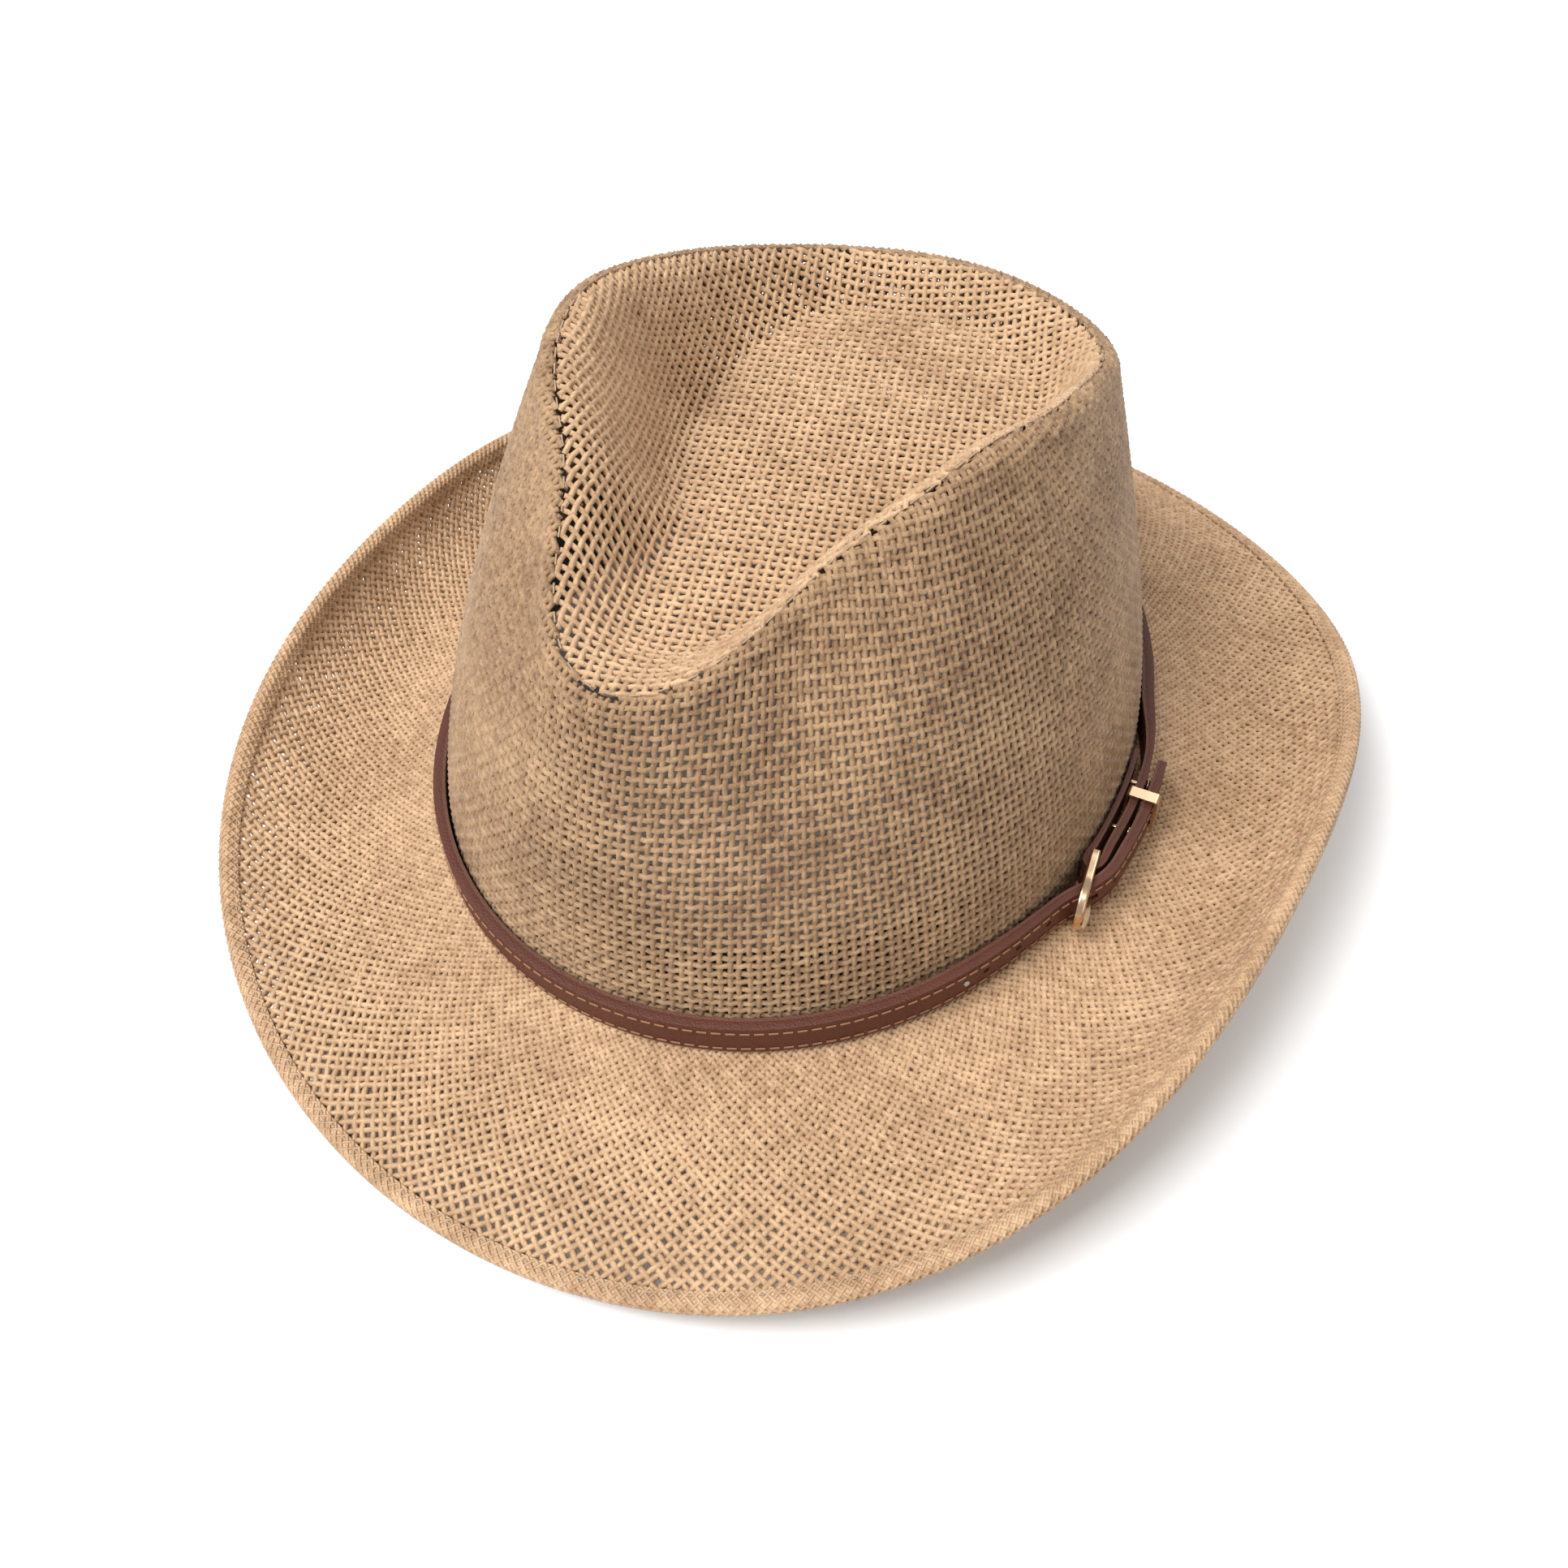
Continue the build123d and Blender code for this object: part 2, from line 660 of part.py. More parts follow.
with BuildPart() as keeper_loop:
    with BuildSketch(place_plane(angle_at(keeper_place), keeper_low, belt_middle - break_z)):
        with Locations(((keeper_high - keeper_low) / 2, 0)):
            RectangleRounded(keeper_high - keeper_low, 2 * keeper_half, keeper_corner)
            inside = (keeper_high - keeper_low - 2 * keeper_thickness, 2 * (keeper_half - keeper_thickness))
            Rectangle(*inside, mode=Mode.SUBTRACT)
    extrude(amount=keeper_width / 2, both=True)
keeper_loop.part.label = "keeper_loop"

post_foot = fold_end_offset - fold_end_thickness / 2 - seam_gap / 4
post_top = riveted_offset + riveted_thickness / 2 + seam_gap / 4

with BuildPart() as rivet_posts:
    for place in rivet_places:
        with BuildSketch(across_belt(place, post_foot - rivet_foot_height)):
            Circle(rivet_cap_radius)
        extrude(amount=rivet_foot_height)
        with BuildSketch(across_belt(place, post_foot)):
            Circle(rivet_radius)
        extrude(amount=post_top - post_foot)
rivet_posts.part.label = "rivet_posts"

with BuildPart() as rivet_caps:
    for place in rivet_places:
        with BuildSketch(across_belt(place, post_top + seam_gap / 4)):
            Circle(rivet_cap_radius)
        extrude(amount=rivet_cap_height)
    fillet(rivet_caps.edges().group_by(SortBy.LENGTH)[-1], rivet_cap_height * 0.45)
rivet_caps.part.label = "rivet_caps"

# ---- threads -------------------------------------------------------------------------------
def stitch_planes(line, values):
    """Planes on a line of stitches: local x along the thread, local z off the surface.

    line gives a point and the surface's direction there for a value.
    """
    planes = []
    for value in values:
        point, off = line(value)
        ahead, _ = line(value + 0.002)
        along = (ahead - point).normalized()
        off = (off - along * off.dot(along)).normalized()
        planes.append(Plane(origin=point + off * (thread / 2 + seam_gap), x_dir=along, z_dir=off))
    return planes


def steps_for(length, pitch, first=0.0, last=2 * pi):
    """Values for stitches at a pitch along a line of that length."""
    count = round(length / pitch)
    return [first + (last - first) * (i + 0.5) / count for i in range(count)]


def crest_line(direction):
    """The seam between the crown's side and its tip."""
    across = abs((direction + pi) % (2 * pi) - pi)
    radius = crest_radius(across)
    point = Vector(radius * sin(direction), middle_y - radius * cos(direction), break_z + crest_height(across))
    return point, Vector(0, 0, 1)


def back_line(height):
    """The upright seam at the back of the crown's side."""
    step = 0.5
    lean = (wall_radius(pi, height + step) - wall_radius(pi, height)) / step
    return Vector(0, middle_y + wall_radius(pi, height), break_z + height), Vector(0, 1, -lean)


def hem_line(angle):
    """The row of stitches that holds the hem."""
    across = abs((angle + pi) % (2 * pi) - pi)
    reach = brim_width - hem_width * 0.75
    out, up = brim_point(across, reach, hem_top)
    over_out, over_up = brim_point(across, reach, hem_top + 1)
    x, y, nx, ny = oval(angle, out)
    rise = over_out - out
    return Vector(x, y + middle_y, break_z + up), Vector(nx * rise, ny * rise, over_up - up)


def band_line(direction):
    """The row of stitches round the foot of the sweatband."""
    across = abs((direction + pi) % (2 * pi) - pi)
    radius = wall_radius(across, 0, band_inwards + band_thickness)
    height = break_z + inside_foot / 2
    point = Vector(radius * sin(direction), middle_y - radius * cos(direction), height)
    return point, Vector(-sin(direction), cos(direction), 0)


tip_girth = 2 * pi * sum(crest_radius_stations) / len(crest_radius_stations)
edge_girth = girth + 2 * pi * brim_width * 0.85
band_girth = girth - 2 * pi * band_inwards

with BuildPart() as crown_tip_stitches:
    with Locations(*stitch_planes(crest_line, steps_for(tip_girth, seam_stitch_pitch))):
        Box(seam_stitch_length, thread, thread)
crown_tip_stitches.part.label = "crown_tip_stitches"

back_low = belt_foot + belt_width + seam_stitch_pitch
back_high = crest_height_stations[-1] - lip - seam_stitch_pitch

with BuildPart() as crown_back_stitches:
    values = steps_for(back_high - back_low, seam_stitch_pitch, back_low, back_high)
    with Locations(*stitch_planes(back_line, values)):
        Box(seam_stitch_length, thread, thread)
crown_back_stitches.part.label = "crown_back_stitches"

with BuildPart() as brim_hem_stitches:
    with Locations(*stitch_planes(hem_line, steps_for(edge_girth, seam_stitch_pitch))):
        Box(seam_stitch_length, thread, thread)
brim_hem_stitches.part.label = "brim_hem_stitches"

with BuildPart() as sweatband_stitches:
    with Locations(*stitch_planes(band_line, steps_for(band_girth, seam_stitch_pitch))):
        Box(seam_stitch_length, thread, thread)
sweatband_stitches.part.label = "sweatband_stitches"

with BuildLine() as face_edges:
    Spline(*belt_line(1, 15))
face_edge = face_edges.edges()[0]


def belt_row(height):
    """A row of stitches on the belt's face, at a height above its lower edge."""
    def line(share):
        along = face_edge % share
        point = face_edge @ share
        return Vector(point.X, point.Y, belt_bottom + height), Vector(along.Y, -along.X, 0)
    return line


belt_values = steps_for(face_edge.length - 2 * tail_tip_radius, belt_stitch_pitch, 0.0,
                        1 - 2 * tail_tip_radius / face_edge.length)

with BuildPart() as belt_stitches_lower:
    with Locations(*stitch_planes(belt_row(belt_stitch_margin), belt_values)):
        Box(belt_stitch_length, thread, thread)
belt_stitches_lower.part.label = "belt_stitches_lower"

with BuildPart() as belt_stitches_upper:
    with Locations(*stitch_planes(belt_row(belt_width - belt_stitch_margin), belt_values)):
        Box(belt_stitch_length, thread, thread)
belt_stitches_upper.part.label = "belt_stitches_upper"

tack_out = belt_clear + belt_thickness + seam_gap / 2

with BuildPart() as belt_tacks:
    for turn in tack_angles:
        x, y, nx, ny = oval(radians(turn), tack_out)
        spot = Plane(origin=(x, y + middle_y, belt_middle), x_dir=(-ny, nx, 0), z_dir=(nx, ny, 0))
        with BuildSketch(spot):
            Circle(tack_head_radius)
        extrude(amount=tack_head_height)
        with BuildSketch(spot):
            Circle(tack_radius)
        extrude(amount=-tack_out - straw * 0.9)
belt_tacks.part.label = "belt_tacks"

# ---- the parts -----------------------------------------------------------------------------
pieces = [
    crown_side, crown_tip, crown_tip_stitches, crown_back_stitches,
    brim_top_ply, brim_under_ply, brim_hem, brim_wire, brim_wire_sleeve, brim_hem_stitches,
    inner_seam_tape, sweatband, sweatband_stitches, size_label,
    belt_face, belt_core, belt_lining, belt_stitches_upper, belt_stitches_lower, belt_tacks,
    rivet_posts, rivet_caps, buckle_frame, buckle_bar, buckle_prong, keeper_loop,
]
for piece in pieces:
    export_step(piece.part, f"parts/{piece.part.label}.step")
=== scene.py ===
"""Woven straw western hat: strands, sweatband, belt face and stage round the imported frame."""
from math import cos, pi, radians, sin

import bmesh
import bpy
import numpy as np
from bpy.props import FloatProperty, FloatVectorProperty, IntProperty, PointerProperty
from mathutils import Matrix, Vector


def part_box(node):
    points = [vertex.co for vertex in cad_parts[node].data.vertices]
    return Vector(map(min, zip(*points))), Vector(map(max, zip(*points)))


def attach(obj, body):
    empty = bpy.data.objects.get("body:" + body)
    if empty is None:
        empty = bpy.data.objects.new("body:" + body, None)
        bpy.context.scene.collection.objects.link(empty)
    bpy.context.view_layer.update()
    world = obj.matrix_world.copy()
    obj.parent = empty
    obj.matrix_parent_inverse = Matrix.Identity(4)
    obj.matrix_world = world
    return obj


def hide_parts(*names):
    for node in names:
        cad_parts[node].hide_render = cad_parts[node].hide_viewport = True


bl_info = {
    "name": "Straw Western Hat",
    "version": (1, 0, 0),
    "blender": (4, 5, 0),
    "location": "3D View > Sidebar > Hat",
    "description": "Builds the woven straw, the sweatband and the belt of a western hat",
    "category": "Object",
}

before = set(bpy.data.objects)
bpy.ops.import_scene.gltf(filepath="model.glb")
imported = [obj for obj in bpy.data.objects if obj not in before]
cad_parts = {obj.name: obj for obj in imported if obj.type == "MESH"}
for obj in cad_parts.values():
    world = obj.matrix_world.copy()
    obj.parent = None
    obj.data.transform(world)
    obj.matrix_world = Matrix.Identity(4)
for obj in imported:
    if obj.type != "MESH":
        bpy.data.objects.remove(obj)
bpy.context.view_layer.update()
MM = 0.001

# ---- the hat's rules, in millimetres, as in the CAD model ----------------------------------
HALF_LENGTH = 103.3
HALF_WIDTH = 84.7
FULLNESS = 0.054
LIP = 4.5
WALL_BOW = 1.6
STRAW = 0.8
BRIM_WIDTH = 59.5
CURL_POWER = 1.5
DENT_FLOOR = 77.0
BRIM_STEPS = 24                # short runs that a line across the brim is summed over
WIRE_POCKET = 2.2              # between the plies' edges and the nose of the hem
PLY_STEP = STRAW + 0.05        # from one ply's top to the next, with the gap between them
FOOT_GAP = 0.05                # from the brim break to the lower edge of the crown's side
TIP_ROWS = 90                  # steps of the tip's table from the front to the back
TIP_REACH = 114.4              # half the cloth of the tip, laid flat
SIDE_SEED, TIP_SEED, BRIM_SEED = 7, 11, 3
# The hem's outline from its top edge round the nose to its lower edge: reach past the brim's
# width and height above the brim's top surface.
HEM_OUTLINE = [(-4.0, 0.75), (-1.3, 0.75), (-0.35, 0.2), (0.05, -0.85),
               (-0.35, -2.0), (-1.3, -2.4), (-4.0, -2.4)]
HEM_STEP = 0.5                 # between points of a hem strand
HEM_LEAN = 0.62                # of a hem strand round the brim, for each step across the hem
HEM_WAVE = 0.12
HEM_STRAND = 0.95
BAND_RIBS = 300
BAND_RIB_DEPTH = 0.1
BAND_EDGE = 0.35               # from the sweatband's rounded edges to its first row of points
BAND_ROWS = 14
BAND_COLUMNS = 1200
BELT_ROUND = 0.7               # of the padded belt's edges
MERGE_DISTANCE = 1e-6          # metres
MOST_TRIANGLES = 170000        # of strands in one piece

# ---- camera and lights ---------------------------------------------------------------------
CAMERA_AZIMUTH, CAMERA_ELEVATION, CAMERA_ROLL = radians(33.465), radians(51.244), radians(-2.873)
CAMERA_DISTANCE, CAMERA_RIGHT, CAMERA_UP = 405.9, -6.498, -19.835
CAMERA_LENS = 34.865
# Name, place in metres, power in watts and size in metres.
LAMPS = [("key", (-0.45, -0.75, 1.6), 34.0, 0.9), ("fill", (1.3, -0.9, 0.9), 4.0, 1.2),
         ("rim", (0.2, 1.4, 1.2), 6.0, 0.8)]
LAMP_TARGET = Vector((0, 0, 0.06))

# Where the middle of the brim break is in the frame, read from the crown.
BREAK_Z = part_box("crown_side")[0][2] / MM - FOOT_GAP
MIDDLE_Y = (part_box("crown_side")[0][1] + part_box("crown_side")[1][1]) / 2 / MM


def even_series(stations):
    """A smooth curve through values spaced evenly from the front to the back."""
    last = len(stations) - 1
    weight = np.ones(last + 1)
    weight[[0, last]] = 0.5
    orders = np.arange(last + 1)
    waves = np.cos(pi * np.outer(orders, orders) / last)
    terms = 2 * weight / last * (waves @ (weight * np.array(stations, float)))
    return lambda angle: sum(term * np.cos(k * angle) for k, term in enumerate(terms))


crest_radius = even_series([78.8, 62.5, 51.5, 50.9, 52.2, 57.1, 69.5, 83.7, 87.4])
crest_height = even_series([83.0, 92.0, 106.0, 114.8, 113.6, 106.4, 95.2, 84.9, 83.4])
dent_wall = even_series([27.0, 22.0, 15.0])
break_slope = even_series(np.radians([-8.0, -16.0, -23.5, -16.0, -8.0]))
edge_curl = even_series(np.radians([-15.0, 50.0, 113.0, 27.0, -30.0]))


def oval(angle, out=0.0):
    """Points of the crown's base oval moved outwards."""
    x = HALF_WIDTH * np.sin(angle) * (1 + FULLNESS * np.cos(angle))
    y = -HALF_LENGTH * np.cos(angle)
    dx = HALF_WIDTH * (np.cos(angle) + FULLNESS * np.cos(2 * angle))
    dy = HALF_LENGTH * np.sin(angle)
    size = np.hypot(dx, dy)
    return x + out * dy / size, y - out * dx / size


TABLE = np.linspace(0, 2 * pi, 1441)
TABLE_X, TABLE_Y = oval(TABLE)
TABLE_PLACE = np.concatenate([[0], np.cumsum(np.hypot(np.diff(TABLE_X), np.diff(TABLE_Y)))])
GIRTH = TABLE_PLACE[-1]
TABLE_DIRECTION = np.unwrap(np.arctan2(TABLE_X, -TABLE_Y))


def angle_at(place):
    """The oval's angle at a distance round it from the front."""
    place = np.asarray(place, float)
    return np.interp(place % GIRTH, TABLE_PLACE, TABLE)


def base_radius(direction):
    """Radius of the base oval in a compass direction, 0 at the front."""
    return np.interp(direction % (2 * pi), TABLE_DIRECTION, np.hypot(TABLE_X, TABLE_Y))


def brim_surface(angle, reach, height):
    """Points of the brim: reach out from the break, height above its top surface."""
    out = np.zeros(np.broadcast(angle, reach).shape)
    up = np.zeros_like(out)
    slope0, curl = break_slope(angle), edge_curl(angle)
    for i in range(BRIM_STEPS):
        share = np.maximum((i + 0.5) * reach / BRIM_STEPS / BRIM_WIDTH, 0)
        slope = slope0 + curl * share ** CURL_POWER
        out += np.cos(slope) * reach / BRIM_STEPS
        up += np.sin(slope) * reach / BRIM_STEPS
    slope = slope0 + curl * np.maximum(reach / BRIM_WIDTH, 0) ** CURL_POWER
    x, y = oval(angle, out - height * np.sin(slope))
    return np.stack([x, y, up + height * np.cos(slope)], -1)


def wall_surface(direction, place, height):
    """Points of the crown's side: place is measured up the wall and on over the rolled lip."""
    shoulder = crest_height(direction) - LIP
    up = np.minimum(place, shoulder)
    turn = np.clip((place - shoulder) / LIP, 0, pi / 2)
    foot = base_radius(direction)
    top = crest_radius(direction) + LIP
    radius = foot + (top - foot) * (up / shoulder) ** WALL_BOW - LIP * (1 - np.cos(turn))
    radius = radius + height * np.cos(turn)
    up = up + (LIP + height) * np.sin(turn)
    return np.stack([radius * np.sin(direction), -radius * np.cos(direction), up], -1)


def tip_height(direction, radius):
    """Height of the crown's dented tip at a place in plan, above the break."""
    share = np.clip((crest_radius(direction) - radius) / dent_wall(direction), 0, 1)
    rise = crest_height(direction) - DENT_FLOOR
    return DENT_FLOOR + rise * (1 + np.cos(pi * share)) / 2


TIP_DIRECTIONS = np.linspace(0, pi, TIP_ROWS + 1)[:, None]
TIP_RADII = np.linspace(0, 1, 161) * crest_radius(TIP_DIRECTIONS)
TIP_STEPS = np.hypot(np.diff(TIP_RADII), np.diff(tip_height(TIP_DIRECTIONS, TIP_RADII)))
TIP_ARCS = np.hstack([np.zeros((TIP_ROWS + 1, 1)), np.cumsum(TIP_STEPS, axis=1)])


def tip_surface(x, y, height):
    """Points of the tip for places on the cloth laid flat, and where that cloth ends."""
    direction = np.arctan2(np.abs(x), -y)
    reach = np.hypot(x, y)
    row = direction / pi * TIP_ROWS
    low = np.minimum(row.astype(int), TIP_ROWS - 1)
    share = row - low
    radius = np.empty_like(reach)
    inside = np.empty(len(reach), bool)
    for i, (k, part, arc) in enumerate(zip(low, share, reach)):
        ends = [np.interp(arc, TIP_ARCS[j], TIP_RADII[j]) for j in (k, k + 1)]
        radius[i] = ends[0] * (1 - part) + ends[1] * part
        inside[i] = arc < TIP_ARCS[k, -1] * (1 - part) + TIP_ARCS[k + 1, -1] * part
    side = np.where(x < 0, -1.0, 1.0)
    z = tip_height(direction, radius) + height
    return np.stack([side * radius * np.sin(direction), -radius * np.cos(direction), z], -1), inside


# ---- meshes --------------------------------------------------------------------------------
def to_frame(points):
    """Millimetres round the middle of the brim break to metres in the frame."""
    return (np.asarray(points) + [0, MIDDLE_Y, BREAK_Z]) * MM


def new_object(name, vertices, edges=(), faces=()):
    """A mesh object at the origin."""
    mesh = bpy.data.meshes.new(name)
    mesh.from_pydata([tuple(v) for v in vertices], edges, faces)
    piece = bpy.data.objects.new(name, mesh)
    bpy.context.scene.collection.objects.link(piece)
    return piece


def lines_object(name, lines):
    """An object of open lines, each an array of points in millimetres."""
    vertices, edges, start = [], [], 0
    for line in lines:
        vertices.append(to_frame(line))
        ids = np.arange(start, start + len(line))
        edges.append(np.stack([ids[:-1], ids[1:]], 1))
        start += len(line)
    return new_object(name, np.concatenate(vertices), np.concatenate(edges).tolist())


def sheet_object(name, grid):
    """A quad sheet from a grid of points in millimetres, closed round its first axis."""
    rows, columns = grid.shape[:2]
    ids = np.arange(rows * columns).reshape(rows, columns)
    along = np.concatenate([ids, ids[:1]])
    faces = np.stack([along[:-1, :-1], along[1:, :-1], along[1:, 1:], along[:-1, 1:]], -1)
    return new_object(name, to_frame(grid).reshape(-1, 3), faces=faces.reshape(-1, 4).tolist())


class Socket:
    """A shader socket that takes part in Python expressions."""

    def __init__(self, tree, link):
        self.tree, self.link = tree, link

    def joined(self, operation, other):
        """The result of a maths node fed with this socket and another value."""
        return node(self.tree, "ShaderNodeMath", {"operation": operation}, {0: self, 1: other})

    def __add__(self, other):
        return self.joined("ADD", other)

    def __mul__(self, other):
        return self.joined("MULTIPLY", other)

    __radd__, __rmul__ = __add__, __mul__


def node(tree, kind, settings=None, inputs=None, output=0):
    """Adds a node, sets it up and links or fills its sockets."""
    made = tree.nodes.new(kind)
    for key, value in (settings or {}).items():
        setattr(made, key, value)
    for key, value in (inputs or {}).items():
        if isinstance(value, Socket):
            tree.links.new(value.link, made.inputs[key])
        elif isinstance(value, bpy.types.NodeSocket):
            tree.links.new(value, made.inputs[key])
        else:
            made.inputs[key].default_value = value
    return Socket(tree, made.outputs[output])


def material(name):
    """A new material with its tree, its shader and its object coordinates."""
    made = bpy.data.materials.new(name)
    made.use_nodes = True
    tree = made.node_tree
    coordinates = node(tree, "ShaderNodeTexCoord", output=3)
    return made, tree, tree.nodes["Principled BSDF"], coordinates


def noise(tree, coordinates, scale, detail=3.0):
    """Noise between 0 and 1."""
    inputs = {"Vector": coordinates, "Scale": scale, "Detail": detail}
    return node(tree, "ShaderNodeTexNoise", {}, inputs)


def mix(tree, share, first, second):
    """A colour between two colours."""
    return node(tree, "ShaderNodeMix", {"data_type": "RGBA"}, {0: share, 6: first, 7: second}, 2)


def finish_with(tree, shader, colour, roughness, height, distance):
    """Links colour, roughness and a bump of the given height to the shader."""
    tree.links.new(colour.link, shader.inputs["Base Color"])
    tree.links.new(roughness.link, shader.inputs["Roughness"])
    inputs = {"Height": height, "Strength": 0.6, "Distance": distance}
    bump = node(tree, "ShaderNodeBump", {}, inputs)
    tree.links.new(bump.link, shader.inputs["Normal"])


def straw_material(name, light, dark):
    """Twisted paper straw: tones that drift from strand to strand and fine fibres."""
    made, tree, shader, place = material(name)
    drift = noise(tree, place, 45.0, 2.0)
    strand = noise(tree, place, 420.0, 2.0)
    fibre = noise(tree, place, 2600.0, 2.0)
    tone = drift * 0.35 + strand * 0.55 + fibre * 0.35
    limits = {0: tone, 1: 0.46, 2: 0.78, 3: 0.0, 4: 1.0}
    share = node(tree, "ShaderNodeMapRange", {}, limits)
    colour = mix(tree, share, dark, light)
    finish_with(tree, shader, colour, 0.55 + strand * 0.2, fibre, 0.00025)
    shader.inputs["Sheen Weight"].default_value = 0.15
    return made


def leather_material(name, light, dark, roughness):
    """Imitation leather: fine pebbled grain with lighter rubbed high spots."""
    made, tree, shader, place = material(name)
    grain = node(tree, "ShaderNodeTexVoronoi", {}, {"Vector": place, "Scale": 1900.0})
    cloud = noise(tree, place, 160.0)
    wear = noise(tree, place, 900.0, 4.0)
    colour = mix(tree, cloud * 0.6 + wear * 0.4, dark, light)
    finish_with(tree, shader, colour, roughness + wear * 0.18, grain, 0.0002)
    return made


def thread_material(name, light, dark):
    """Sewing thread with a fine twist."""
    made, tree, shader, place = material(name)
    twist = noise(tree, place, 3000.0, 1.0)
    colour = mix(tree, twist, dark, light)
    finish_with(tree, shader, colour, 0.6 + twist * 0.2, twist, 0.0001)
    return made


def metal_material(name, light, dark, roughness):
    """Plated metal with faint rubbing marks."""
    made, tree, shader, place = material(name)
    rub = noise(tree, place, 700.0, 4.0)
    cloud = noise(tree, place, 120.0)
    colour = mix(tree, cloud, dark, light)
    finish_with(tree, shader, colour, roughness + rub * 0.1, cloud, 0.00001)
    shader.inputs["Metallic"].default_value = 1.0
    return made


def cloth_material(name, light, dark):
    """Band cloth with fine ribs across it."""
    made, tree, shader, place = material(name)
    inputs = {"Vector": place, "Scale": 350.0}
    ribs = node(tree, "ShaderNodeTexWave", {"bands_direction": "Z"}, inputs)
    cloud = noise(tree, place, 300.0)
    colour = mix(tree, cloud, dark, light)
    finish_with(tree, shader, colour, 0.75 + cloud * 0.15, ribs, 0.0003)
    return made


# ---- strands -----------------------------------------------------------------------------
def tube_tree(name, made_of):
    """Turns lines into strands: a flat-sided tube of a named width round each line."""
    tree = bpy.data.node_groups.new(name, "GeometryNodeTree")
    sockets = {}
    for key, kind in (("Geometry", "Geometry"), ("Strand width", "Float"), ("Sides", "Int")):
        kind = "NodeSocket" + kind
        sockets[key] = tree.interface.new_socket(key, in_out="INPUT", socket_type=kind)
    tree.interface.new_socket("Geometry", in_out="OUTPUT", socket_type="NodeSocketGeometry")
    entry = tree.nodes.new("NodeGroupInput")
    leave = tree.nodes.new("NodeGroupOutput")
    curve = node(tree, "GeometryNodeMeshToCurve", {}, {"Mesh": entry.outputs["Geometry"]})
    radius = Socket(tree, entry.outputs["Strand width"]) * 0.5
    profile = node(tree, "GeometryNodeCurvePrimitiveCircle", {"mode": "RADIUS"},
                   {"Resolution": entry.outputs["Sides"], "Radius": radius})
    tube = node(tree, "GeometryNodeCurveToMesh", {},
                {"Curve": curve, "Profile Curve": profile, "Fill Caps": True})
    smooth = node(tree, "GeometryNodeSetShadeSmooth", {}, {"Geometry": tube})
    real = node(tree, "GeometryNodeRealizeInstances", {}, {"Geometry": smooth})
    done = node(tree, "GeometryNodeSetMaterial", {}, {"Geometry": real, "Material": made_of})
    tree.links.new(done.link, leave.inputs["Geometry"])
    return tree, sockets["Strand width"].identifier, sockets["Sides"].identifier


def grown(piece, tree, values):
    """Applies a geometry tree to a piece and leaves a plain mesh."""
    modifier = piece.modifiers.new("rule", "NODES")
    modifier.node_group = tree
    for key, value in values.items():
        modifier[key] = value
    graph = bpy.context.evaluated_depsgraph_get()
    graph.update()
    mesh = bpy.data.meshes.new_from_object(piece.evaluated_get(graph))
    piece.modifiers.remove(modifier)
    old = piece.data
    piece.data = mesh
    bpy.data.meshes.remove(old)
    return piece


def strands(name, lines, made_of, width, sides):
    """Strands along lines, as one straw piece of the hat."""
    tree, width_id, sides_id = tube_tree(name + "_rule", made_of)
    piece = lines_object(name, lines)
    grown(piece, tree, {width_id: width * MM, sides_id: sides})
    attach(piece, "hat")
    return piece


def chunks(lines, faces_per_point):
    """Groups of lines whose strands stay under the most triangles of one piece."""
    groups, size = [[]], 0
    for line in lines:
        cost = len(line) * faces_per_point
        if size + cost > MOST_TRIANGLES:
            groups.append([])
            size = 0
        groups[-1].append(line)
        size += cost
    return groups


def runs(points, keep):
    """The parts of a line whose points are kept, without stray single points."""
    cuts = np.flatnonzero(np.diff(keep.astype(int))) + 1
    parts = np.split(np.arange(len(points)), cuts)
    return [points[part] for part in parts if keep[part[0]] and len(part) > 3]


def woven(name, lines, made_of, width, replaced=None, sides=4):
    """A woven ply as several pieces of strands, which may stand for one CAD node."""
    for i, group in enumerate(chunks(lines, 2 * sides)):
        piece = strands(f"{name}_{i + 1}", group, made_of, width, sides)
        if replaced:
            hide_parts(replaced)


# ---- settings ------------------------------------------------------------------------------
def millimetres(name, default, about):
    """A setting that is a length in millimetres."""
    return FloatProperty(name=name, description=about + ", in millimetres", default=default)


def tone(name, red, green, blue):
    """A colour setting."""
    about = "Linear colour of the " + name.lower()
    return FloatVectorProperty(name=name, description=about, subtype="COLOR", size=4,
                               default=(red, green, blue, 1))


